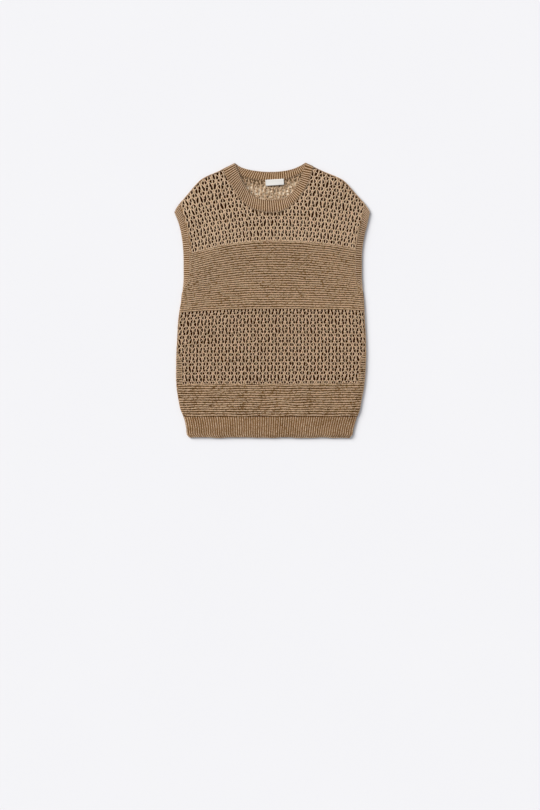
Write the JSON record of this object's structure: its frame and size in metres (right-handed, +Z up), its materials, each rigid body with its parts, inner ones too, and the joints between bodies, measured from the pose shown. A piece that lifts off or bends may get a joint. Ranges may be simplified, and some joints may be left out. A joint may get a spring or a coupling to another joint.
{
  "type": "sleeveless open-knit sweater laid flat",
  "caption": "Sleeveless crew-neck sweater in garter bands and pointelle lace, with ribbed neck, armholes and hem, laid flat front up.",
  "frame": {"origin": "centre of the laid garment on the surface it rests on", "axes": "+X across the garment towards its left armhole as worn, which is the right side of the picture; +Y from the hem to the neck; +Z up from the surface, out of the front"},
  "size_m": [0.4779, 0.6734, 0.0079],
  "materials": {
    "body_knit": "matte camel-brown cotton and linen yarn in garter ridges and pointelle lace",
    "rib_knit": "the same yarn in 1x1 rib",
    "woven_label": "smooth off-white woven tape, left bare"
  },
  "bodies": {
    "root": {"front_panel": "body_knit", "back_panel": "body_knit", "hem_rib_front": "rib_knit", "hem_rib_back": "rib_knit", "neckband": "rib_knit", "armhole_band_left": "rib_knit", "armhole_band_right": "rib_knit", "neck_label": "woven_label"}
  },
  "joints": []
}
